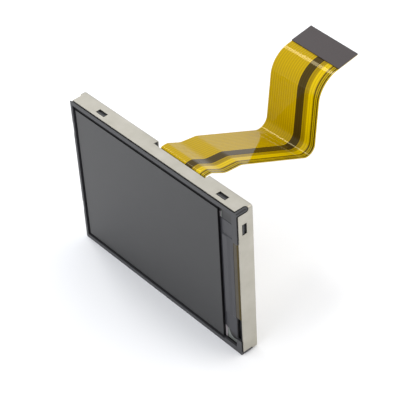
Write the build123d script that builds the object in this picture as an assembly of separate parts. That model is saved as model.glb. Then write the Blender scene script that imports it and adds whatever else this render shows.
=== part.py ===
from build123d import *
import os

# Liquid crystal display module for a pocket camera, with its formed flex tail.
# Seen from the front, x runs right, y runs back and z runs up, all in millimetres.
# The origin is on the face that the module stands on: the middle of its long lower edge.
# Depths are measured back from the front rim, heights up from the lower edge.

# Polarising films: the picture area and its margin
polariser_w = 52.7
polariser_h = 40.3
polariser_t = 0.2
polariser_recess = 0.35

# Glass cell: how far the glass stands past the film, and the ledge for the driver
film_margin_left = 0.45
film_margin_right = 0.05
film_margin_low = 0.3
film_margin_top = 0.6
ledge_w = 4.55
colour_filter_t = 0.5
tft_t = 0.5
glass_clear = 0.2
glass_right_clear = 0.55
glass_top_clear = 0.73

# Mould frame: black polycarbonate ring round the glass
rim_left = 0.5
rim_right = 1.5
rim_low = 0.7
rim_top = 0.97
frame_gap = 0.25
frame_corner_r = 0.4
frame_edge_r = 0.08
frame_rear_chamfer = 0.15
frame_rear_clear = 0.05
rear_wall_t = 1.3
flange_t = 0.15
flange_reach = 0.17
flange_recess_left = 0.2
flange_bite = 0.18
ledge_lip_t = 0.5
ledge_lip_rise = 0.5
ledge_lip_inset = 0.65
ledge_hollow_drop = 0.3
side_open_low = 4.4
side_open_clear = 0.5
side_lip_t = 0.6
side_well_drop = 1.2
side_well_depth = 2.6
rib_clear = 0.22
rib_recess = 0.06
rib_corner_r = 0.5
rib_groove_w = 0.16
rib_groove_reach = 0.55

# Rear bezel: drawn stainless tray
sheet_t = 0.25
bezel_corner_inner_r = 0.55
bezel_bend_inner_r = 0.2
wall_setback = 0.35
slot_reach = 1.05
slot_web = 1.4

# Windows in the tray's walls, placed from the nearest edge, and the catches in them
window_len = 3.1
window_front = 1.41
window_w = 1.41
window_from_left = 10.45
window_from_right = 7.1
window_from_top = 5.6
left_window_from_top = 8.8
left_window_from_low = 10.7
catch_clear = 0.22
catch_recess = 0.08
catch_ramp = 0.6

# Backlight, from the glass to the back
rim_tape_t = 0.1
tape_overlap = 0.45
sheet_margin = 0.1
sheet_reach_right = 1.0
backlight_clear = 0.1
prism_t = 0.15
diffuser_t = 0.12
light_guide_t = 0.95
reflector_t = 0.12

# Light emitting diodes beside the light guide, on their own flex
led_count = 4
led_len = 3.0
led_reach = 1.0
led_h = 0.8
led_pitch = 9.0
led_gap = 0.08
led_flex_w = 3.1
led_flex_margin = 3.0
solder_pad_w = 1.1
solder_pad_len = 1.6
solder_pad_pitch = 3.0

# Driver chip and shading tape on the glass ledge
chip_w = 1.5
chip_len = 16.0
chip_t = 0.3
chip_gap = 0.85
ledge_tape_t = 0.06
ledge_tape_gap = 0.05
ledge_tape_margin = 0.2
ledge_tape_from_low = 1.9
ledge_tape_from_top = 3.25
ledge_tape_slant = 2.3
tape_ramp = 0.3
tape_end_clear = 0.1

# Main flex: bonded to the ledge, folded round the side, led out through the top
flex_t = 0.15
flex_wrap_w = 24.4
flex_wrap_rise = 0.2
flex_shoulder = 4.1
bond_w = 1.3
bond_film_t = 0.03
flex_side_clear = 0.17
nose_clear = 0.05
flex_tape_t = 0.08
flex_tape_w = 6.0
flex_tape_margin = 1.65
flex_tape_spacing = 14.0
neck_fillet = 1.5

# Flex tail, as formed, stretch by stretch along its left edge.
# A run goes back, a fall or rise goes down or up, and r is the radius of the bend at the stretch's end.
tail_left = 0.1
tail_w = 15.74
tail_root = 3.0
tail_jog = 0.22
tail_jog_low = 2.7
tail_jog_high = 2.1
tail_jog_r = 1.0
fold_rise = 0.05
fold_r = 0.6
fold_out = 0.7
ramp_run = 3.9
ramp_fall = 1.9
ramp_r = 5.0
shelf_run = 4.9
shelf_fall = 0.7
shelf_r = 4.0
slope_run = 22.7
slope_fall = 10.15
slope_r = 3.0
riser_run = 2.75
riser_rise = 21.15
riser_r = 7.0
end_run = 13.2
end_slope = 0.165
# How much further back, higher and rounder the right edge is in each stretch
right_lag = ((0.3, -0.4, 0.0), (0.1, 0.3, 0.0), (1.0, -0.7, -0.4), (-0.5, -0.05, 0.5))
right_end_lag = -0.65

# Top notch that lets the tail out
notch_left_margin = 2.35
notch_right_margin = 0.3
notch_front_clear = 0.04
notch_drop = 2.4
exit_clear = 0.25

# Contact end of the tail
stiffener_len = 6.7
stiffener_t = 0.3
finger_pitch = 0.5
finger_w = 0.3
finger_len = 3.6
finger_t = 0.04
finger_setback = 0.25
finger_margin = 0.5

# Chip parts on the rear of the flex, and the film that insulates them
capacitor_w = 1.6
capacitor_h = 0.8
part_t = 0.5
capacitor_columns = 4
capacitor_rows = 2
capacitor_pitch_x = 2.6
capacitor_pitch_z = 3.4
capacitor_inset = 3.4
capacitor_drop = 4.75
resistor_w = 1.0
resistor_h = 0.5
resistor_t = 0.35
resistor_count = 3
resistor_pitch = 2.0
resistor_inset = 17.9
resistor_drop = 2.75
part_headroom = 0.58
insulation_t = 0.1
insulation_margin = 3.2

# Depths of the stack, each from the one in front of it
front_polariser_d = polariser_recess
colour_filter_d = front_polariser_d + polariser_t
tft_d = colour_filter_d + colour_filter_t
rear_polariser_d = tft_d + tft_t
rim_tape_d = rear_polariser_d + polariser_t
upper_prism_d = rim_tape_d + rim_tape_t
lower_prism_d = upper_prism_d + prism_t
diffuser_d = lower_prism_d + prism_t
light_guide_d = diffuser_d + diffuser_t
reflector_d = light_guide_d + light_guide_t
flex_tape_d = reflector_d + reflector_t
flex_d = flex_tape_d + flex_tape_t
parts_d = flex_d + flex_t
insulation_d = parts_d + part_t + part_headroom
plate_d = insulation_d + insulation_t
panel_t = plate_d + sheet_t
frame_back_d = plate_d - frame_rear_clear
exit_d = flex_d + tail_jog

# Outside sizes, from the glass outwards
glass_w = film_margin_left + polariser_w + film_margin_right + ledge_w
glass_h = film_margin_low + polariser_h + film_margin_top
frame_in = sheet_t + frame_gap
panel_w = 2 * frame_in + rim_left + rim_right + glass_w + glass_clear + glass_right_clear
panel_h = 2 * frame_in + rim_low + rim_top + glass_h + glass_clear + glass_top_clear
half_w = panel_w / 2

# Outlines that several pieces share, as (left, right, low, high)
frame_box = (frame_in - half_w, half_w - frame_in, frame_in, panel_h - frame_in)
flange_box = (
    flange_recess_left - half_w,
    frame_box[1] + flange_reach,
    0,
    frame_box[3] + flange_reach,
)
cell_pocket = (
    frame_box[0] + rim_left,
    frame_box[1] - rim_right,
    frame_box[2] + rim_low,
    frame_box[3] - rim_top,
)
glass_box = (
    cell_pocket[0] + glass_clear,
    cell_pocket[1] - glass_right_clear,
    cell_pocket[2] + glass_clear,
    cell_pocket[3] - glass_top_clear,
)
filter_box = (glass_box[0], glass_box[1] - ledge_w, glass_box[2], glass_box[3])
film_box = (
    filter_box[0] + film_margin_left,
    filter_box[1] - film_margin_right,
    filter_box[2] + film_margin_low,
    filter_box[3] - film_margin_top,
)
sheet_box = (
    film_box[0] - sheet_margin,
    film_box[1] + sheet_reach_right,
    film_box[2] - sheet_margin,
    film_box[3] + sheet_margin,
)
led_left = sheet_box[1] + led_gap
led_flex_right = led_left + led_flex_w
light_pocket = (
    sheet_box[0] - backlight_clear,
    led_flex_right + backlight_clear,
    sheet_box[2] - backlight_clear,
    sheet_box[3] + backlight_clear,
)
picture_middle = (sheet_box[2] + sheet_box[3]) / 2

# The corner slots of the tray, as half their width across the corner and the depth of their end
slot_half = slot_reach / 2**0.5
slot_end_d = panel_t - slot_web
tray_corners = [(side, height) for side in (-1, 1) for height in (0, panel_h)]

# The flex's fold round the side
wrap_middle = panel_h / 2 + flex_wrap_rise
wrap_low = wrap_middle - flex_wrap_w / 2
wrap_high = wrap_middle + flex_wrap_w / 2
flex_front_d = tft_d - bond_film_t - flex_t
wrap_inner_r = (flex_d - flex_front_d - flex_t) / 2
wrap_outer_r = wrap_inner_r + flex_t
wrap_x = half_w - sheet_t - flex_side_clear - wrap_outer_r
wrap_d = flex_d - wrap_inner_r
tail_right = tail_left + tail_w
notch_left = tail_left - notch_left_margin
notch_right = tail_right + notch_right_margin
flex_body_left = tail_left - flex_shoulder
tail_stretches = (
    (ramp_run, -ramp_fall, ramp_r),
    (shelf_run, -shelf_fall, shelf_r),
    (slope_run, -slope_fall, slope_r),
    (riser_run, riser_rise, riser_r),
)


def block(box, front, back):
    """A plate with the outline box, from one depth to another."""
    left, right, low, high = box
    middle = Pos((left + right) / 2, (front + back) / 2 - panel_t / 2, (low + high) / 2)
    return middle * Box(right - left, back - front, high - low)


def grown(box, by):
    """The outline box with every side moved out."""
    left, right, low, high = box
    return (left - by, right + by, low - by, high + by)


def corner_edges(solid):
    """The four edges of a plate that run from front to back at its corners."""
    return solid.edges().filter_by(Axis.Y)


def window_places():
    """Middle of each wall window, and which wall it is in."""
    return (
        (window_from_left - half_w, "top"),
        (half_w - window_from_right, "top"),
        (window_from_left - half_w, "bottom"),
        (half_w - window_from_right, "bottom"),
        (panel_h - window_from_top, "right"),
        (panel_h - left_window_from_top, "left"),
        (left_window_from_low, "left"),
    )


def wall_block(place, wall, half_len, front, back, inner, outer):
    """A block on one wall: inner and outer are distances in from the tray's outside."""
    if wall == "top":
        box = (place - half_len, place + half_len, panel_h - inner, panel_h - outer)
    elif wall == "bottom":
        box = (place - half_len, place + half_len, outer, inner)
    elif wall == "right":
        box = (half_w - inner, half_w - outer, place - half_len, place + half_len)
    else:
        box = (outer - half_w, inner - half_w, place - half_len, place + half_len)
    return block(box, front, back)


def catch(place, wall):
    """A frame catch: square at the front, ramped at the back where the tray slides on."""
    half_len = window_len / 2 - catch_clear
    front = window_front + catch_clear
    back = window_front + window_w - catch_clear
    lug = wall_block(place, wall, half_len, front, back, frame_in + frame_gap, catch_recess)
    outward = {"top": Axis.Z, "bottom": -Axis.Z, "right": Axis.X, "left": -Axis.X}[wall]
    crown = lug.faces().sort_by(outward)[-1]
    rise = frame_in - catch_recess
    return chamfer(crown.edges().sort_by(Axis.Y)[-1], catch_ramp, rise, reference=crown)


def tail_notch():
    """What is cut from the tray's top wall and rear plate to let the tail out."""
    box = (notch_left, notch_right, panel_h - notch_drop, panel_h + sheet_t)
    return block(box, flex_d - notch_front_clear, panel_t + sheet_t)


def corner_channel(side, corner_z, half, reach, end_d):
    """A round-ended channel across one corner, from the front to a depth: half is half its width."""
    tilt = Rot(0, -45 * side if corner_z == 0 else 45 * side, 0)
    run = end_d - half
    straight = Pos(0, -run / 2, 0) * Box(2 * half, run, 2 * reach)
    return Pos(side * half_w, run - panel_t / 2, corner_z) * tilt * (Cylinder(half, 2 * reach) + straight)


def rear_bezel():
    """Drawn stainless tray: rear plate, four walls, corner slots, windows and tail notch."""
    outside = block((-half_w, half_w, 0, panel_h), wall_setback, panel_t)
    outside = fillet(corner_edges(outside), bezel_corner_inner_r + sheet_t)
    outside = fillet(outside.faces().sort_by(Axis.Y)[-1].edges(), bezel_bend_inner_r + sheet_t)
    inside = block((-half_w + sheet_t, half_w - sheet_t, sheet_t, panel_h - sheet_t), 0, plate_d)
    inside = fillet(corner_edges(inside), bezel_corner_inner_r)
    inside = fillet(inside.faces().sort_by(Axis.Y)[-1].edges(), bezel_bend_inner_r)
    tray = outside - inside
    for side, corner_z in tray_corners:
        tray -= corner_channel(side, corner_z, slot_half, 2 * slot_reach, slot_end_d)
    window_back = window_front + window_w
    for place, wall in window_places():
        tray -= wall_block(place, wall, window_len / 2, window_front, window_back, 2 * sheet_t, -sheet_t)
    return tray - tail_notch()


def corner_ribs():
    """Ribs of the frame that fill the tray's two right corner slots, each with a groove down its edge."""
    plate = block(grown((-half_w, half_w, 0, panel_h), -rib_recess), 0, panel_t)
    plate = fillet(corner_edges(plate), rib_corner_r)
    half = slot_half - rib_clear
    groove_end_d = slot_end_d - slot_half
    ribs = []
    for side, corner_z in tray_corners[2:]:
        rib = corner_channel(side, corner_z, half, 2 * slot_reach, slot_end_d - rib_clear) & plate
        rib -= corner_channel(side, corner_z, rib_groove_w / 2, rib_groove_reach, groove_end_d)
        ribs.append(rib)
    return ribs


def mould_frame():
    """Black ring that carries the glass in front and the backlight behind."""
    ring = fillet(corner_edges(block(frame_box, 0, frame_back_d)), frame_corner_r)
    ring = chamfer(ring.faces().sort_by(Axis.Y)[-1].edges(), frame_rear_chamfer)
    # the front flange closes the gap to the tray, and covers its edge on the left and lower sides
    ring += fillet(corner_edges(block(flange_box, 0, flange_t)), frame_corner_r)
    ring = fillet(ring.faces().sort_by(Axis.Y)[0].edges(), frame_edge_r)
    for rib in corner_ribs():
        ring += rib
    rear_room = grown(frame_box, -rear_wall_t)
    ring -= block(cell_pocket, 0, upper_prism_d)
    ring -= block(light_pocket, upper_prism_d, flex_d)
    ring -= block(rear_room, flex_d, frame_back_d)
    # low lip with a hollow behind it, under the glass ledge
    ledge_left, ledge_right = filter_box[1] + ledge_lip_inset, cell_pocket[1]
    floor = cell_pocket[2]
    ring += block((ledge_left, ledge_right, floor, floor + ledge_lip_rise), 0, ledge_lip_t)
    ring -= block((ledge_left, ledge_right, floor - ledge_hollow_drop, floor), ledge_lip_t, upper_prism_d)
    # open side: a shelf, a well below the flex, and a rounded nose that the flex folds round
    open_high = wrap_high + side_open_clear
    nose_low = wrap_low - exit_clear
    shelf_d = flex_front_d + flex_t + nose_clear
    well_low = side_open_low - side_well_drop
    ring -= block((cell_pocket[1], half_w, side_open_low, open_high), 0, shelf_d)
    ring -= block((cell_pocket[1], half_w, side_open_low, nose_low), 0, side_well_depth)
    ring -= block((cell_pocket[1], half_w, well_low, side_open_low), side_lip_t, side_well_depth)
    ring -= block((wrap_x, half_w, nose_low, open_high), 0, frame_back_d)
    centre = Pos(wrap_x, wrap_d - panel_t / 2, (nose_low + open_high) / 2)
    nose = centre * Cylinder(wrap_inner_r - nose_clear, open_high - nose_low)
    ring += nose - block(light_pocket, 0, flex_d) - block(cell_pocket, 0, upper_prism_d)
    ring -= block((wrap_x - rear_wall_t, half_w, nose_low, open_high), flex_d, frame_back_d)
    # way out for the tail
    ring -= block((notch_left, notch_right, rear_room[3] - rear_wall_t, panel_h), exit_d, frame_back_d)
    for place, wall in window_places():
        if wall == "left":
            bite_in = flange_recess_left + flange_bite
            ring -= wall_block(place, wall, window_len / 2, 0, flange_t, bite_in, 0)
        ring += catch(place, wall)
    return ring


def rim_tape():
    """Black double-sided tape between the glass cell and the frame, open over the picture."""
    opening = grown(film_box, -tape_overlap)
    return block(glass_box, rim_tape_d, upper_prism_d) - block(opening, rim_tape_d, upper_prism_d)


def led_heights():
    """Middle height of each light emitting diode."""
    first = picture_middle - led_pitch * (led_count - 1) / 2
    return [first + led_pitch * step for step in range(led_count)]


def backlight_leds():
    """Side-lit diodes that shine into the light guide's right edge."""
    lamps = []
    for height in led_heights():
        box = (led_left, led_left + led_reach, height - led_len / 2, height + led_len / 2)
        lamps.append(block(box, reflector_d - led_h, reflector_d))
    return Compound(children=lamps)


def led_flex():
    """Narrow flex strip that the diodes are soldered to."""
    low = sheet_box[2] + led_flex_margin
    high = sheet_box[3] - led_flex_margin
    return block((led_left, led_flex_right, low, high), reflector_d, flex_tape_d)


def solder_pads():
    """Two solder joints between the diode strip and the main flex."""
    x = (led_left + led_flex_right) / 2
    pads = []
    for side in (-1, 1):
        z = wrap_middle + side * solder_pad_pitch / 2
        box = (x - solder_pad_w / 2, x + solder_pad_w / 2, z - solder_pad_len / 2, z + solder_pad_len / 2)
        pads.append(block(box, flex_tape_d, flex_d))
    return Compound(children=pads)


def driver_box():
    """Outline of the driver chip on the ledge."""
    middle = (glass_box[2] + glass_box[3]) / 2
    left = filter_box[1] + chip_gap
    return (left, left + chip_w, middle - chip_len / 2, middle + chip_len / 2)


def tape_section(height, chip_rise, flex_rise):
    """The shading tape's section at one height, lifted off the glass over the chip and the flex."""
    chip_left, chip_right = driver_box()[:2]
    under = (
        (filter_box[1] + ledge_tape_gap, tft_d),
        (chip_left - tape_ramp, tft_d),
        (chip_left, tft_d - chip_rise),
        (chip_right, tft_d - chip_rise),
        (glass_box[1] - bond_w, tft_d - flex_rise),
        (glass_box[1] - ledge_tape_margin, tft_d - flex_rise),
    )
    points = [(x, depth - panel_t / 2, height) for x, depth in under]
    points += [(x, depth - ledge_tape_t - panel_t / 2, height) for x, depth in reversed(under)]
    return make_face(Polyline(*points, close=True))


def ledge_tape():
    """Dark shading tape over the chip and the flex bond, flat on the glass at both ends."""
    low = glass_box[2] + ledge_tape_from_low
    high = glass_box[3] - ledge_tape_from_top
    lifted_low = wrap_low - tape_end_clear
    lifted_high = wrap_high + tape_end_clear
    lift = (chip_t, tft_d - flex_front_d)
    sections = [
        tape_section(low, 0, 0),
        tape_section(lifted_low - tape_ramp, 0, 0),
        tape_section(lifted_low, *lift),
        tape_section(lifted_high, *lift),
        tape_section(lifted_high + tape_ramp, 0, 0),
        tape_section(high, 0, 0),
    ]
    left = filter_box[1] + ledge_tape_gap
    right = glass_box[1] - ledge_tape_margin
    corner = ((left, low), (right, low), (left, low + ledge_tape_slant))
    wedge = make_face(Polyline(*[(x, -panel_t / 2, z) for x, z in corner], close=True))
    return loft(sections, ruled=True) - extrude(wedge, panel_t, dir=(0, 1, 0))


def bend_points(right_edge):
    """Middle line of one tail edge, from the flat neck to the contact end, and its bend radii."""
    flat_y = flex_d + flex_t / 2 - panel_t / 2
    top = panel_h + fold_rise
    y = fold_out + panel_t / 2
    z = top
    points = [
        (flat_y, panel_h - tail_root),
        (flat_y, panel_h - tail_jog_low),
        (flat_y + tail_jog, panel_h - tail_jog_high),
        (flat_y + tail_jog, top),
        (y, z),
    ]
    radii = [tail_jog_r, tail_jog_r, fold_r, 2 * fold_r]
    for (run, rise, radius), lag in zip(tail_stretches, right_lag):
        y += run + (lag[0] if right_edge else 0)
        z += rise + (lag[1] if right_edge else 0)
        points.append((y, z))
        radii.append(radius + (lag[2] if right_edge else 0))
    last_run = end_run + (right_end_lag if right_edge else 0)
    points.append((y + last_run, z + last_run * end_slope))
    return points, radii


def offset_line(x, points, radii, shift):
    """A bent line at one side of the middle line, still tangent at every bend."""
    steps = [Vector(b[0] - a[0], b[1] - a[1]).normalized() for a, b in zip(points, points[1:])]
    normals = [Vector(-step.Y, step.X) for step in steps]
    moved = [Vector(*points[0]) + normals[0] * shift]
    moved_radii = []
    for index in range(1, len(points) - 1):
        before, after = normals[index - 1], normals[index]
        moved.append(Vector(*points[index]) + (before + after) * (shift / (1 + before.dot(after))))
        turn = steps[index - 1].X * steps[index].Y - steps[index - 1].Y * steps[index].X
        moved_radii.append(radii[index - 1] - shift if turn > 0 else radii[index - 1] + shift)
    moved.append(Vector(*points[-1]) + normals[-1] * shift)
    return FilletPolyline(*[(x, at.X, at.Y) for at in moved], radius=moved_radii)


def tail_section(x, right_edge):
    """The tail's thin section at one edge."""
    points, radii = bend_points(right_edge)
    lower = offset_line(x, points, radii, -flex_t / 2)
    upper = offset_line(x, points, radii, flex_t / 2)
    ends = Line(lower @ 0, upper @ 0) + Line(lower @ 1, upper @ 1)
    return make_face(lower + upper + ends)


def contact_end(near, far, low, high, span=(0.0, 1.0)):
    """A plate on the flat end: near and far are distances back from the tip, low and high its faces."""
    left_tip = Vector(tail_left, *bend_points(False)[0][-1])
    right_tip = Vector(tail_right, *bend_points(True)[0][-1])
    along = Vector(0, 1, end_slope).normalized()
    across = right_tip - left_tip
    up = across.cross(along).normalized()
    start = left_tip + across * span[0]
    end = left_tip + across * span[1]
    base = [start - along * near, end - along * near, end - along * far, start - along * far]
    lift = up * ((high - low) * (1 if up.Z > 0 else -1))
    foot = up * (low * (1 if up.Z > 0 else -1))
    face = make_face(Polyline(*[point + foot for point in base], close=True))
    return extrude(face, high - low, dir=lift.normalized())


def tail_stiffener():
    """Dark stiffening plate bonded to the top of the tail's end."""
    return contact_end(0, stiffener_len, flex_t / 2, flex_t / 2 + stiffener_t)


def contact_fingers():
    """Plated contact fingers on the underside of the tail's end."""
    fingers = []
    finger_count = int((tail_w - 2 * finger_margin) / finger_pitch) + 1
    first = (tail_w - finger_pitch * (finger_count - 1)) / 2
    for step in range(finger_count):
        middle = first + step * finger_pitch
        span = ((middle - finger_w / 2) / tail_w, (middle + finger_w / 2) / tail_w)
        near = finger_setback
        fingers.append(contact_end(near, near + finger_len, -flex_t / 2 - finger_t, -flex_t / 2, span))
    return Compound(children=fingers)


def main_flex():
    """One-piece flex: ledge bond, fold round the side, body behind the backlight, neck and tail."""
    height = (wrap_low, wrap_high)
    leg = block((glass_box[1] - bond_w, wrap_x) + height, flex_front_d, flex_front_d + flex_t)
    turn = Pos(wrap_x, wrap_d - panel_t / 2, wrap_middle)
    tube = turn * (Cylinder(wrap_outer_r, flex_wrap_w) - Cylinder(wrap_inner_r, flex_wrap_w))
    fold = tube & block((wrap_x, half_w) + height, 0, panel_t)
    body = block((flex_body_left, wrap_x) + height, flex_d, parts_d)
    body += block((tail_left, tail_right, wrap_low, panel_h - tail_root), flex_d, parts_d)
    neck_corners = corner_edges(body).filter_by(
        lambda edge: abs(edge.center().Z - wrap_high) < flex_t
        and tail_left - flex_t < edge.center().X < tail_right + flex_t
    )
    body = fillet(neck_corners, neck_fillet)
    tail = loft([tail_section(tail_left, False), tail_section(tail_right, True)], ruled=True)
    return leg + fold + body + tail


def bond_film():
    """Conductive film that joins the flex to the glass ledge."""
    box = (glass_box[1] - bond_w, glass_box[1], wrap_low, wrap_high)
    return block(box, tft_d - bond_film_t, tft_d)


def flex_tapes():
    """Two double-sided tape pads that hold the flex to the back of the reflector."""
    middle = (flex_body_left + sheet_box[1]) / 2
    pads = []
    for side in (-1, 1):
        left = middle + side * flex_tape_spacing / 2 - flex_tape_w / 2
        box = (left, left + flex_tape_w, wrap_low + flex_tape_margin, wrap_high - flex_tape_margin)
        pads.append(block(box, flex_tape_d, flex_d))
    return Compound(children=pads)


def chip_capacitors():
    """Ceramic chip capacitors in a grid on the rear of the flex."""
    chips = []
    for column in range(capacitor_columns):
        for row in range(capacitor_rows):
            left = tail_left + capacitor_inset + column * capacitor_pitch_x
            low = wrap_middle - capacitor_drop + row * capacitor_pitch_z
            box = (left, left + capacitor_w, low, low + capacitor_h)
            chips.append(block(box, parts_d, parts_d + part_t))
    return Compound(children=chips)


def chip_resistors():
    """Chip resistors in a row beside the capacitors."""
    chips = []
    for step in range(resistor_count):
        left = tail_left + resistor_inset
        low = wrap_middle - resistor_drop + step * resistor_pitch
        box = (left, left + resistor_w, low, low + resistor_h)
        chips.append(block(box, parts_d, parts_d + resistor_t))
    return Compound(children=chips)


def insulation_film():
    """Film on the inside of the rear plate that keeps it off the chip parts."""
    return block(grown((-half_w, half_w, 0, panel_h), -insulation_margin), insulation_d, plate_d)


pieces = {
    "rear_bezel": rear_bezel(),
    "mould_frame": mould_frame(),
    "front_polariser": block(film_box, front_polariser_d, colour_filter_d),
    "colour_filter_glass": block(filter_box, colour_filter_d, tft_d),
    "tft_glass": block(glass_box, tft_d, rear_polariser_d),
    "rear_polariser": block(film_box, rear_polariser_d, rim_tape_d),
    "rim_tape": rim_tape(),
    "upper_prism_sheet": block(sheet_box, upper_prism_d, lower_prism_d),
    "lower_prism_sheet": block(sheet_box, lower_prism_d, diffuser_d),
    "diffuser_sheet": block(sheet_box, diffuser_d, light_guide_d),
    "light_guide": block(sheet_box, light_guide_d, reflector_d),
    "reflector_sheet": block(sheet_box, reflector_d, flex_tape_d),
    "backlight_leds": backlight_leds(),
    "led_flex": led_flex(),
    "solder_pads": solder_pads(),
    "driver_chip": block(driver_box(), tft_d - chip_t, tft_d),
    "bond_film": bond_film(),
    "ledge_tape": ledge_tape(),
    "main_flex": main_flex(),
    "flex_tapes": flex_tapes(),
    "chip_capacitors": chip_capacitors(),
    "chip_resistors": chip_resistors(),
    "insulation_film": insulation_film(),
    "tail_stiffener": tail_stiffener(),
    "contact_fingers": contact_fingers(),
}

os.makedirs("parts", exist_ok=True)
for name, piece in pieces.items():
    export_step(piece, f"parts/{name}.step")
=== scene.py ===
import math

import bmesh
import bpy
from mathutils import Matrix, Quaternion, Vector


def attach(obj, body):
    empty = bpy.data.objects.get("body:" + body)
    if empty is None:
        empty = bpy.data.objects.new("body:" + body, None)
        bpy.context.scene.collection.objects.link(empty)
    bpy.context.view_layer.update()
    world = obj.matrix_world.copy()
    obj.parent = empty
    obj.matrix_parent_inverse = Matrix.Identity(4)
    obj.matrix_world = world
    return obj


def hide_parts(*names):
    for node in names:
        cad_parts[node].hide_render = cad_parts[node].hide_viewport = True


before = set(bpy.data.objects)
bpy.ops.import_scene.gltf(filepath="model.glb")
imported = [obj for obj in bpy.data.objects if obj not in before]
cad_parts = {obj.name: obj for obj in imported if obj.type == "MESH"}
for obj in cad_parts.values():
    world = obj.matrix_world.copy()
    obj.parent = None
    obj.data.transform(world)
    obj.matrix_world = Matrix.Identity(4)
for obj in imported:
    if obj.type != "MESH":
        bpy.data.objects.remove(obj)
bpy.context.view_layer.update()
MM = 0.001

# Camera at the photograph's own angle, found from the panel's edges and corners.
# It looks down on the front from the right, with a slight roll and a long lens.
view_target = Vector((-4.237, 15.525, 17.557)) * MM
view_distance = 375.26 * MM
view_azimuth = math.radians(51.10)
view_elevation = math.radians(39.78)
view_roll = math.radians(-3.5755)
sensor_width = 36.0
lens_length = 133.26

away = Vector(
    (
        math.sin(view_azimuth) * math.cos(view_elevation),
        -math.cos(view_azimuth) * math.cos(view_elevation),
        math.sin(view_elevation),
    )
)
camera_data = bpy.data.cameras.new("camera")
camera_data.lens = lens_length
camera_data.sensor_width = sensor_width
camera_data.clip_start = 10 * MM
camera_data.clip_end = 20
camera = bpy.data.objects.new("camera", camera_data)
camera.rotation_mode = "QUATERNION"
camera.location = view_target + away * view_distance
camera.rotation_quaternion = (-away).to_track_quat("-Z", "Y") @ Quaternion((0, 0, 1), view_roll)
bpy.context.scene.collection.objects.link(camera)
bpy.context.scene.camera = camera


# The stage: a pale matt floor under the module and soft light from a studio.
# White walls fill in all round. A broad warm softbox stands behind on the right, and a low one in front.
# A narrow one high on the left draws the two pale lines across the tail's bends.
def linear(hex_colour):
    """An sRGB hex colour as the linear numbers that a shader reads."""
    channels = [int(hex_colour[start : start + 2], 16) / 255 for start in (1, 3, 5)]
    return [c / 12.92 if c <= 0.04045 else ((c + 0.055) / 1.055) ** 2.4 for c in channels] + [1.0]


def add(tree, kind, inputs=None, **settings):
    """One shader node, with its settings, its socket values and the links into it."""
    node = tree.nodes.new(kind)
    for name, value in settings.items():
        setattr(node, name, value)
    for socket, value in (inputs or {}).items():
        if isinstance(value, bpy.types.NodeSocket):
            tree.links.new(value, node.inputs[socket])
        else:
            node.inputs[socket].default_value = value
    return node


def new_material(name, constants):
    """An empty material with one shader: gives the material, its tree, the shader and Object places."""
    material = bpy.data.materials.new(name)
    material.use_nodes = True
    tree = material.node_tree
    tree.nodes.clear()
    shader = add(tree, "ShaderNodeBsdfPrincipled", constants)
    add(tree, "ShaderNodeOutputMaterial", {"Surface": shader.outputs["BSDF"]})
    place = add(tree, "ShaderNodeTexCoord").outputs["Object"]
    return material, tree, shader, place


def cloudy_tone(tree, place, size, low, high, detail=2.0):
    """A colour that drifts between two tones, in clouds of the given size."""
    cloud = add(tree, "ShaderNodeTexNoise", {"Vector": place, "Scale": 1 / size, "Detail": detail})
    tone = add(tree, "ShaderNodeMix", {"Factor": cloud.outputs["Fac"]}, data_type="RGBA")
    tone.inputs["A"].default_value = linear(low)
    tone.inputs["B"].default_value = linear(high)
    return tone.outputs["Result"]


def emboss(tree, shader, height, depth, strength):
    """A fine relief of the given depth, too small to be made as geometry."""
    relief = add(tree, "ShaderNodeBump", {"Height": height, "Strength": strength, "Distance": depth})
    tree.links.new(relief.outputs["Normal"], shader.inputs["Normal"])


def pale_matt_board():
    """Painted board: nearly white, with a faint mottle that the rollers leave."""
    material, tree, shader, place = new_material(
        "pale_matt_board", {"Roughness": 0.8, "Specular IOR Level": 0.2}
    )
    tone = cloudy_tone(tree, place, 40 * MM, "#F4F5F7", "#F8F8F8", 3.0)
    tree.links.new(tone, shader.inputs["Base Color"])
    return material


floor_half = 3.0
floor_mesh = bpy.data.meshes.new("floor")
shape = bmesh.new()
bmesh.ops.create_grid(shape, x_segments=4, y_segments=4, size=floor_half)
shape.to_mesh(floor_mesh)
shape.free()
floor_mesh.materials.append(pale_matt_board())
floor = bpy.data.objects.new("floor", floor_mesh)
bpy.context.scene.collection.objects.link(floor)

studio = bpy.data.worlds.new("studio")
studio.use_nodes = True
studio.node_tree.nodes["Background"].inputs["Color"].default_value = linear("#F9FBFF")
studio.node_tree.nodes["Background"].inputs["Strength"].default_value = 1.0
bpy.context.scene.world = studio


def softbox(name, azimuth, elevation, distance, width, height, power, colour="#FFFFFF"):
    """An area light aimed at the module, placed by its direction from it."""
    turn, tilt = math.radians(azimuth), math.radians(elevation)
    direction = Vector(
        (math.sin(turn) * math.cos(tilt), -math.cos(turn) * math.cos(tilt), math.sin(tilt))
    )
    data = bpy.data.lights.new(name, "AREA")
    data.shape = "RECTANGLE"
    data.size = width
    data.size_y = height
    data.energy = power
    data.color = linear(colour)[:3]
    lamp = bpy.data.objects.new(name, data)
    lamp.location = view_target + direction * distance
    lamp.rotation_euler = direction.to_track_quat("Z", "Y").to_euler()
    bpy.context.scene.collection.objects.link(lamp)


softbox("back_softbox", 140, 50, distance=1.2, width=0.9, height=0.9, power=2.5, colour="#FFF4E2")
softbox("front_softbox", 0, 20, distance=1.2, width=0.8, height=0.5, power=5.0)
softbox("strip_softbox", 258, 56, distance=1.0, width=0.2, height=0.36, power=2.1)
bpy.context.scene.view_settings.view_transform = "Standard"


# The rear bezel: a tray drawn from thin nickel-plated stainless strip.
# It clips over the catches of the mould frame, and its rolled face stays matt and a little smudged.
def dress(node, material):
    """Gives a carried-over piece its finish, in every slot that it has."""
    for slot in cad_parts[node].material_slots:
        slot.material = material


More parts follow.
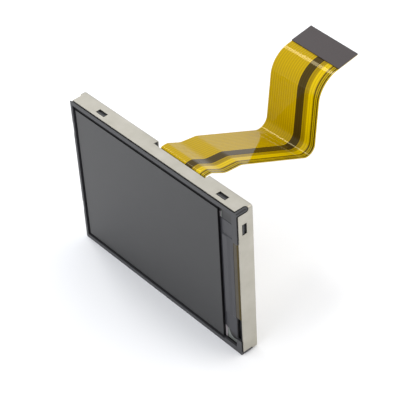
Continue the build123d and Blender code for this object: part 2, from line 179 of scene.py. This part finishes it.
def nickel_plated_strip():
    """Warm grey matt metal: rolling grain along the strip and cloudy smudges."""
    material, tree, shader, place = new_material("nickel_plated_strip", {"Metallic": 1.0})
    smudge_size = 5 * MM
    # the real grain is some 0.02 mm apart, drawn coarser so that it shows
    grain_width = 0.12 * MM
    smudged = cloudy_tone(tree, place, smudge_size, "#A5A194", "#C2BEB4", 4.0)
    tree.links.new(smudged, shader.inputs["Base Color"])
    along_the_strip = add(tree, "ShaderNodeMapping", {"Vector": place, "Scale": (0.04, 1.0, 1.0)})
    grain = add(
        tree,
        "ShaderNodeTexNoise",
        {"Vector": along_the_strip.outputs[0], "Scale": 1 / grain_width, "Detail": 2.0},
    )
    gloss = add(
        tree,
        "ShaderNodeMapRange",
        {"Value": grain.outputs["Fac"], "From Min": 0.3, "From Max": 0.7, "To Min": 0.34, "To Max": 0.44},
    )
    tree.links.new(gloss.outputs["Result"], shader.inputs["Roughness"])
    emboss(tree, shader, grain.outputs["Fac"], 0.01 * MM, 0.15)
    return material


dress("rear_bezel", nickel_plated_strip())


# The mould frame: one ring of glass-filled black polycarbonate, injection moulded.
# The tool's spark-eroded face leaves it a fine, even, dark grey grain.
def moulded_polycarbonate():
    """Dark grey moulded plastic with a fine spark-eroded grain."""
    material, tree, shader, place = new_material("moulded_polycarbonate", {"Roughness": 0.5, "IOR": 1.58})
    # eroded pits are some 0.03 mm wide, drawn coarser so that they show
    pit_size = 0.15 * MM
    grain = add(tree, "ShaderNodeTexNoise", {"Vector": place, "Scale": 1 / pit_size, "Detail": 3.0})
    pitted = cloudy_tone(tree, place, pit_size, "#252527", "#303033", 3.0)
    tree.links.new(pitted, shader.inputs["Base Color"])
    emboss(tree, shader, grain.outputs["Fac"], 0.01 * MM, 0.3)
    return material


dress("mould_frame", moulded_polycarbonate())


# The cell: a polarising film in front, two glass plates and a second film behind.
# The films are hard coated against glare, so the dark picture area has a satin sheen.
def hard_coated_polariser():
    """Charcoal film with a satin anti-glare coat."""
    material, tree, shader, place = new_material(
        "hard_coated_polariser", {"Roughness": 0.3, "IOR": 1.5, "Specular IOR Level": 0.57}
    )
    tree.links.new(cloudy_tone(tree, place, 9 * MM, "#0D0D0E", "#131314"), shader.inputs["Base Color"])
    # the coat's beads are some 0.01 mm wide, drawn coarser so that they show
    sparkle = add(tree, "ShaderNodeTexNoise", {"Vector": place, "Scale": 1 / (0.06 * MM), "Detail": 1.0})
    emboss(tree, shader, sparkle.outputs["Fac"], 0.004 * MM, 0.2)
    return material


def black_matrix_glass():
    """Thin glass, dead black inside from the masked margin round the picture."""
    material, tree, shader, place = new_material(
        "black_matrix_glass", {"Roughness": 0.5, "Specular IOR Level": 0.1}
    )
    tree.links.new(cloudy_tone(tree, place, 3 * MM, "#0B0B0C", "#111112"), shader.inputs["Base Color"])
    return material


# the distance between a wave texture's bands at a Scale of 1
band_pitch_at_one = math.tau / 20


def thin_film_array_glass():
    """Thin glass over etched metal lines: dark grey, with fine lines towards the driver chip."""
    material, tree, shader, place = new_material(
        "thin_film_array_glass", {"Roughness": 0.3, "Specular IOR Level": 0.35}
    )
    # the lines run across the ledge some 0.03 mm apart, drawn every 2.5 mm so that they show
    lines = add(
        tree,
        "ShaderNodeTexWave",
        {"Vector": place, "Scale": band_pitch_at_one / (2.513 * MM)},
        bands_direction="Z",
    )
    ground = cloudy_tone(tree, place, 1.5 * MM, "#1C1C1E", "#242426")
    lined = add(tree, "ShaderNodeMix", {"Factor": lines.outputs["Fac"], "A": ground}, data_type="RGBA")
    lined.inputs["B"].default_value = linear("#2C2B2A")
    tree.links.new(lined.outputs["Result"], shader.inputs["Base Color"])
    return material


polariser = hard_coated_polariser()
dress("front_polariser", polariser)
dress("rear_polariser", polariser)
dress("colour_filter_glass", black_matrix_glass())
dress("tft_glass", thin_film_array_glass())


# The ledge of the lower glass carries the ends of its metal films, bare beyond the tape's two ends.
# Each is a sputtered patch a few hundredths of a millimetre proud, cut from one outline.
def sputtered_film(name, low, high):
    """Thin matt metal film on glass."""
    material, tree, shader, place = new_material(name, {"Metallic": 0.6, "Roughness": 0.45})
    tree.links.new(cloudy_tone(tree, place, 0.6 * MM, low, high), shader.inputs["Base Color"])
    return material


ledge_face_y = -1.45
film_thickness = 0.02


def ledge_film(name, material, outline):
    """One patch of film on the ledge, from its outline as (across, up) in millimetres."""
    shape = bmesh.new()
    corners = [shape.verts.new(Vector((across, ledge_face_y, up)) * MM) for across, up in outline]
    face = shape.faces.new(corners)
    raised = bmesh.ops.extrude_face_region(shape, geom=[face], use_keep_orig=True)
    moved = [item for item in raised["geom"] if isinstance(item, bmesh.types.BMVert)]
    bmesh.ops.translate(shape, verts=moved, vec=Vector((0, -film_thickness, 0)) * MM)
    bmesh.ops.recalc_face_normals(shape, faces=shape.faces[:])
    mesh = bpy.data.meshes.new(name)
    shape.to_mesh(mesh)
    shape.free()
    mesh.materials.append(material)
    piece = bpy.data.objects.new(name, mesh)
    bpy.context.scene.collection.objects.link(piece)
    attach(piece, "root")


pink_film = sputtered_film("pinkish_electrode_film", "#A9A2A5", "#B7B0B3")
green_film = sputtered_film("greenish_electrode_film", "#858A85", "#939893")
ledge_film("low_end_film", pink_film, ((23.72, 1.45), (24.4, 1.45), (24.4, 4.7), (23.72, 5.1)))
ledge_film(
    "low_corner_film",
    green_film,
    (
        (24.62, 1.5),
        (27.6, 1.5),
        (27.6, 2.5),
        (26.5, 2.55),
        (25.6, 3.0),
        (25.2, 3.7),
        (24.95, 4.7),
        (24.62, 4.8),
    ),
)
ledge_film("top_end_film", pink_film, ((23.7, 39.45), (23.92, 39.45), (23.92, 41.0), (23.7, 41.0)))
ledge_film("top_edge_film", green_film, ((24.15, 39.45), (24.32, 39.45), (24.32, 41.4), (24.15, 41.4)))


# The shading tape over the driver ledge, and the black double-sided tapes of rim and flex.
# All are thin polyester, pressed down by hand, so they carry soft ripples.
def polyester_tape(name, low, high, roughness):
    """Dark tape with a soft gloss and a slight ripple."""
    material, tree, shader, place = new_material(name, {"Roughness": roughness})
    tree.links.new(cloudy_tone(tree, place, 2 * MM, low, high), shader.inputs["Base Color"])
    ripple = add(tree, "ShaderNodeTexNoise", {"Vector": place, "Scale": 1 / (1.5 * MM), "Detail": 1.0})
    emboss(tree, shader, ripple.outputs["Fac"], 0.03 * MM, 0.3)
    return material


dress("ledge_tape", polyester_tape("shading_tape", "#242428", "#2C2C31", 0.33))
black_tape = polyester_tape("black_double_sided_tape", "#141415", "#1C1C1D", 0.55)
dress("rim_tape", black_tape)
dress("flex_tapes", black_tape)


# The backlight's sheets: two embossed prism films, a diffuser, the moulded guide and the reflector.
# They are clear or milky plastics, held in the frame behind the cell.
def prism_film(name, direction):
    """Clear acrylic film with embossed prisms along one way."""
    material, tree, shader, place = new_material(
        name, {"Transmission Weight": 0.7, "Roughness": 0.2, "IOR": 1.5}
    )
    tree.links.new(cloudy_tone(tree, place, 6 * MM, "#EEF1F2", "#F7F8F8"), shader.inputs["Base Color"])
    # the prisms are 0.05 mm apart, drawn every 1.9 mm so that they show
    prisms = add(
        tree,
        "ShaderNodeTexWave",
        {"Vector": place, "Scale": band_pitch_at_one / (1.885 * MM)},
        bands_direction=direction,
        wave_profile="TRI",
    )
    emboss(tree, shader, prisms.outputs["Fac"], 0.02 * MM, 0.6)
    return material


def milky_sheet(name, low, high, transmission, roughness):
    """White filled plastic sheet."""
    material, tree, shader, place = new_material(
        name, {"Transmission Weight": transmission, "Roughness": roughness}
    )
    tree.links.new(cloudy_tone(tree, place, 1.2 * MM, low, high), shader.inputs["Base Color"])
    return material


def dotted_acrylic():
    """Clear moulded acrylic with rows of milled dots that let the light out."""
    material, tree, shader, place = new_material(
        "dotted_acrylic", {"Transmission Weight": 0.85, "Roughness": 0.08, "IOR": 1.49}
    )
    tree.links.new(cloudy_tone(tree, place, 8 * MM, "#EDF3F0", "#F6F9F8"), shader.inputs["Base Color"])
    # the dots are 0.08 mm apart, drawn every 0.4 mm so that they show
    dots = add(tree, "ShaderNodeTexVoronoi", {"Vector": place, "Scale": 1 / (0.4 * MM), "Randomness": 0.2})
    emboss(tree, shader, dots.outputs["Distance"], 0.02 * MM, 0.5)
    return material


dress("upper_prism_sheet", prism_film("prism_film_across", "Z"))
dress("lower_prism_sheet", prism_film("prism_film_upright", "X"))
dress("diffuser_sheet", milky_sheet("frosted_polyester", "#ECECEA", "#F6F6F4", 0.4, 0.6))
dress("light_guide", dotted_acrylic())
dress("reflector_sheet", milky_sheet("voided_white_polyester", "#E9EAEB", "#F4F5F5", 0.0, 0.35))


# The backlight's lamps: white resin packages with a phosphor window, soldered to a small flex.
# The window is the side that faces the light guide.
def phosphor_package():
    """White resin body with a yellow phosphor window on its side towards the guide."""
    material, tree, shader, place = new_material("phosphor_package", {"Roughness": 0.45})
    window_end_x = 24.72 * MM
    split = add(tree, "ShaderNodeSeparateXYZ", {"Vector": place})
    window = add(tree, "ShaderNodeMath", {0: split.outputs["X"], 1: window_end_x}, operation="LESS_THAN")
    body = cloudy_tone(tree, place, 0.8 * MM, "#E6E4DC", "#F1F0EA")
    faced = add(tree, "ShaderNodeMix", {"Factor": window.outputs[0], "A": body}, data_type="RGBA")
    faced.inputs["B"].default_value = linear("#E3D35A")
    tree.links.new(faced.outputs["Result"], shader.inputs["Base Color"])
    return material


def reflowed_tin_solder():
    """Solder, reflowed: bright tin with a faint orange-peel skin."""
    material, tree, shader, place = new_material("reflowed_tin_solder", {"Metallic": 1.0, "Roughness": 0.3})
    tree.links.new(cloudy_tone(tree, place, 0.3 * MM, "#A9ABAD", "#C3C5C6"), shader.inputs["Base Color"])
    skin = add(tree, "ShaderNodeTexNoise", {"Vector": place, "Scale": 1 / (0.2 * MM), "Detail": 1.0})
    emboss(tree, shader, skin.outputs["Fac"], 0.02 * MM, 0.4)
    return material


def coverlay_flex():
    """Small amber flex over solid copper, a little browner than the tail."""
    material, tree, shader, place = new_material("coverlay_over_copper", {"Roughness": 0.25, "IOR": 1.7})
    tree.links.new(cloudy_tone(tree, place, 1.0 * MM, "#8A6410", "#9C741A"), shader.inputs["Base Color"])
    return material


dress("backlight_leds", phosphor_package())
dress("led_flex", coverlay_flex())
dress("solder_pads", reflowed_tin_solder())


# The driver chip is bare silicon, bonded face down on the ledge, and the flex is bonded beside it.
# The bonding film is a clear resin full of tiny gold-plated beads.
def thinned_silicon():
    """Bare silicon back, ground thin: bluish grey, nearly a mirror, with fine grinding marks."""
    material, tree, shader, place = new_material("thinned_silicon", {"Metallic": 0.8, "Roughness": 0.16})
    tree.links.new(cloudy_tone(tree, place, 1.5 * MM, "#53565E", "#5F636B"), shader.inputs["Base Color"])
    # the marks are some 0.01 mm apart, drawn every 1.3 mm so that they show
    marks = add(
        tree,
        "ShaderNodeTexWave",
        {"Vector": place, "Scale": band_pitch_at_one / (1.257 * MM), "Distortion": 1.5},
    )
    emboss(tree, shader, marks.outputs["Fac"], 0.002 * MM, 0.2)
    return material


def beaded_resin():
    """Grey resin speckled with conducting beads."""
    material, tree, shader, place = new_material("beaded_bonding_resin", {"Roughness": 0.3})
    # the beads are 0.004 mm wide, drawn as 0.1 mm specks so that they show
    specks = add(tree, "ShaderNodeTexVoronoi", {"Vector": place, "Scale": 1 / (0.1 * MM)})
    tone = add(tree, "ShaderNodeMix", {"Factor": specks.outputs["Distance"]}, data_type="RGBA")
    tone.inputs["A"].default_value = linear("#B59A4A")
    tone.inputs["B"].default_value = linear("#6C6A64")
    tree.links.new(tone.outputs["Result"], shader.inputs["Base Color"])
    return material


dress("driver_chip", thinned_silicon())
dress("bond_film", beaded_resin())


# The chip parts on the flex: tan ceramic capacitors and black-glazed resistors.
# Each has a dipped tin cap at both ends.
chip_pitch = 2.6


def capped_ceramic(name, low, high, first, half_body):
    """Ceramic block with tin caps: the blocks repeat across at one pitch, and the caps are their ends."""
    material, tree, shader, place = new_material(name, {"Roughness": 0.4})
    start_x = (first - chip_pitch / 2) * MM
    split = add(tree, "ShaderNodeSeparateXYZ", {"Vector": place})
    offset = add(tree, "ShaderNodeMath", {0: split.outputs["X"], 1: start_x}, operation="SUBTRACT")
    turns = add(tree, "ShaderNodeMath", {0: offset.outputs[0], 1: chip_pitch * MM}, operation="DIVIDE")
    phase = add(tree, "ShaderNodeMath", {0: turns.outputs[0]}, operation="FRACT")
    middle = add(tree, "ShaderNodeMath", {0: phase.outputs[0], 1: 0.5}, operation="SUBTRACT")
    reach = add(tree, "ShaderNodeMath", {0: middle.outputs[0]}, operation="ABSOLUTE")
    bare = half_body / chip_pitch
    cap = add(tree, "ShaderNodeMath", {0: reach.outputs[0], 1: bare}, operation="GREATER_THAN")
    body = cloudy_tone(tree, place, 0.2 * MM, low, high)
    capped = add(tree, "ShaderNodeMix", {"Factor": cap.outputs[0], "A": body}, data_type="RGBA")
    capped.inputs["B"].default_value = linear("#B4B6B8")
    tree.links.new(capped.outputs["Result"], shader.inputs["Base Color"])
    tree.links.new(cap.outputs[0], shader.inputs["Metallic"])
    return material


tan_ceramic = capped_ceramic("tan_ceramic", "#A88A66", "#B89A76", first=4.3, half_body=0.5)
glazed_ceramic = capped_ceramic("black_glazed_ceramic", "#17181A", "#222326", first=18.5, half_body=0.3)
dress("chip_capacitors", tan_ceramic)
dress("chip_resistors", glazed_ceramic)


# The insulation film on the tray's back, a black polyester sheet with a satin face.
# It is stuck down flat behind the flex.
dress("insulation_film", polyester_tape("satin_black_polyester", "#18181A", "#202022", 0.4))


# The main flex: etched copper tracks between two polyimide films, folded and formed as one sheet.
# The tail is one narrow strip with its tracks raised under the film; only its visible face has them.
# The fine tracks on its left are some 0.45 mm apart, drawn every 0.7 mm so that they show.
tail_left, tail_width = 0.1, 15.74
fine_start, fine_pitch, fine_width = 0.4, 0.7, 0.38
tracks = [(fine_start + fine_pitch * step, fine_width) for step in range(12)]
tracks += [(8.9, 2.2), (11.3, 0.16), (11.66, 0.16), (12.02, 0.16), (14.1, 0.4), (14.75, 0.25), (15.25, 0.35)]
track_height = 0.018
track_shoulder = 0.02
# past ledge_side_x the film carries painted shade, and its tone changes at fold_edge_x
ledge_side_x, fold_edge_x = 16.5, 29.1
tail_starts_y, stiffener_low_z = 5.0, 54.6
same_place = 0.0005
crease_angle = 25


def amber_polyimide():
    """Clear amber film over copper: bands across the tail, fine tracks on its left, and painted shade at the
    ledge, where the film is darkened to brown.
    """
    material, tree, shader, place = new_material(
        "amber_polyimide", {"Roughness": 0.06, "IOR": 1.38, "Specular Tint": linear("#FFE9A8")}
    )
    line_shade = 0.25
    split = add(tree, "ShaderNodeSeparateXYZ", {"Vector": place})
    across = add(
        tree,
        "ShaderNodeMapRange",
        {
            "Value": split.outputs["X"],
            "From Min": tail_left * MM,
            "From Max": (tail_left + tail_width) * MM,
            "To Min": 0.0,
            "To Max": 1.0,
        },
    )
    bands = add(tree, "ShaderNodeValToRGB", {"Fac": across.outputs["Result"]})
    ramp = bands.color_ramp
    ramp.interpolation = "CONSTANT"
    stops = (
        (0.0, "#B89900"),
        (0.555, "#40320E"),
        (0.705, "#9F8300"),
        (0.785, "#D2B300"),
        (0.885, "#5E4A04"),
        (0.912, "#C4A800"),
        (0.93, "#6E5800"),
        (0.946, "#CCB000"),
        (0.96, "#544206"),
        (0.985, "#C4A800"),
    )
    ramp.elements[0].position, ramp.elements[0].color = stops[0][0], linear(stops[0][1])
    ramp.elements[1].position, ramp.elements[1].color = stops[-1][0], linear(stops[-1][1])
    for position, colour in stops[1:-1]:
        ramp.elements.new(position).color = linear(colour)
    shift = add(tree, "ShaderNodeMath", {0: split.outputs["X"], 1: fine_start * MM}, operation="SUBTRACT")
    turns = add(tree, "ShaderNodeMath", {0: shift.outputs[0], 1: fine_pitch * MM}, operation="DIVIDE")
    phase = add(tree, "ShaderNodeMath", {0: turns.outputs[0]}, operation="FRACT")
    copper = add(
        tree, "ShaderNodeMath", {0: phase.outputs[0], 1: fine_width / fine_pitch}, operation="LESS_THAN"
    )
    shade = add(tree, "ShaderNodeMath", {0: copper.outputs[0], 1: line_shade}, operation="MULTIPLY")
    lined = add(
        tree,
        "ShaderNodeMix",
        {"Factor": shade.outputs[0], "A": bands.outputs["Color"]},
        data_type="RGBA",
        blend_type="MULTIPLY",
    )
    lined.inputs["B"].default_value = linear("#8A7A50")
    # past the tail, where the film wraps the ledge in shadow, it is darkened to brown: painted shade
    ledge = add(
        tree, "ShaderNodeMath", {0: split.outputs["X"], 1: ledge_side_x * MM}, operation="GREATER_THAN"
    )
    edge = add(
        tree, "ShaderNodeMath", {0: split.outputs["X"], 1: fold_edge_x * MM}, operation="GREATER_THAN"
    )
    # painted shade at the ledge: greyer brown up to the fold edge, darker amber-brown beyond it
    painted_ledge_shade = add(
        tree,
        "ShaderNodeMix",
        {"Factor": edge.outputs[0], "A": cloudy_tone(tree, place, 2.5 * MM, "#35322D", "#403C35")},
        data_type="RGBA",
    )
    painted_ledge_shade.inputs["B"].default_value = linear("#3A3013")
    whole = add(
        tree,
        "ShaderNodeMix",
        {"Factor": ledge.outputs[0], "A": lined.outputs["Result"], "B": painted_ledge_shade.outputs["Result"]},
        data_type="RGBA",
    )
    tree.links.new(whole.outputs["Result"], shader.inputs["Base Color"])
    return material


flex_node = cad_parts["main_flex"]
shape = bmesh.new()
shape.from_mesh(flex_node.data)
shape.transform(flex_node.matrix_world)
bmesh.ops.remove_doubles(shape, verts=shape.verts[:], dist=same_place * MM)
for track_start, track_width in tracks:
    for edge_x in (track_start, track_start + track_width):
        bmesh.ops.bisect_plane(
            shape,
            geom=shape.verts[:] + shape.edges[:] + shape.faces[:],
            dist=same_place * MM,
            plane_co=(edge_x * MM, 0, 0),
            plane_no=(1, 0, 0),
        )
shape.normal_update()
towards_viewer = Vector((0.0, -0.5, 0.86))
for track_start, track_width in tracks:
    covered = []
    for face in shape.faces:
        middle = face.calc_center_median() / MM
        faces_viewer = face.normal.dot(towards_viewer) > 0.2 and abs(face.normal.x) < 0.3
        on_tail = tail_starts_y < middle.y and middle.z < stiffener_low_z
        if faces_viewer and on_tail and track_start < middle.x < track_start + track_width:
            covered.append(face)
    bmesh.ops.inset_region(
        shape,
        faces=covered,
        thickness=track_shoulder * MM,
        depth=track_height * MM,
        use_boundary=True,
        use_even_offset=True,
    )
for face in shape.faces:
    face.smooth = True
for edge in shape.edges:
    edge.smooth = edge.calc_face_angle(0.0) < math.radians(crease_angle)
flex_mesh = bpy.data.meshes.new("formed_flex")
shape.to_mesh(flex_mesh)
shape.free()
flex_mesh.materials.append(amber_polyimide())
formed_flex = bpy.data.objects.new("formed_flex", flex_mesh)
bpy.context.scene.collection.objects.link(formed_flex)
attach(formed_flex, "root")
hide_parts("main_flex")


# The tail's stiffener, glass-epoxy plate dyed dark and left bare, and the contacts under it.
# The contacts are gold-plated copper fingers with fine wear marks along them.
def glass_epoxy_stiffener():
    """Brown-grey glass-epoxy plate, speckled by its cloth and faintly waved from the press."""
    material, tree, shader, place = new_material("glass_epoxy_stiffener", {"Roughness": 0.5})
    tree.links.new(cloudy_tone(tree, place, 0.35 * MM, "#322B2B", "#3D3535"), shader.inputs["Base Color"])
    waves = add(
        tree,
        "ShaderNodeTexWave",
        {"Vector": place, "Scale": band_pitch_at_one / (3.142 * MM), "Distortion": 0.6},
    )
    emboss(tree, shader, waves.outputs["Fac"], 0.01 * MM, 0.3)
    return material


def gold_plated_copper():
    """Thin gold over nickel, finely scratched along the fingers."""
    material, tree, shader, place = new_material("gold_plated_copper", {"Metallic": 1.0, "Roughness": 0.25})
    tree.links.new(cloudy_tone(tree, place, 0.4 * MM, "#C9A24A", "#DAB661"), shader.inputs["Base Color"])
    stretch = add(tree, "ShaderNodeMapping", {"Vector": place, "Scale": (1.0, 0.05, 1.0)})
    scratches = add(
        tree, "ShaderNodeTexNoise", {"Vector": stretch.outputs[0], "Scale": 1 / (0.08 * MM), "Detail": 2.0}
    )
    emboss(tree, shader, scratches.outputs["Fac"], 0.004 * MM, 0.3)
    return material


dress("tail_stiffener", glass_epoxy_stiffener())
dress("contact_fingers", gold_plated_copper())
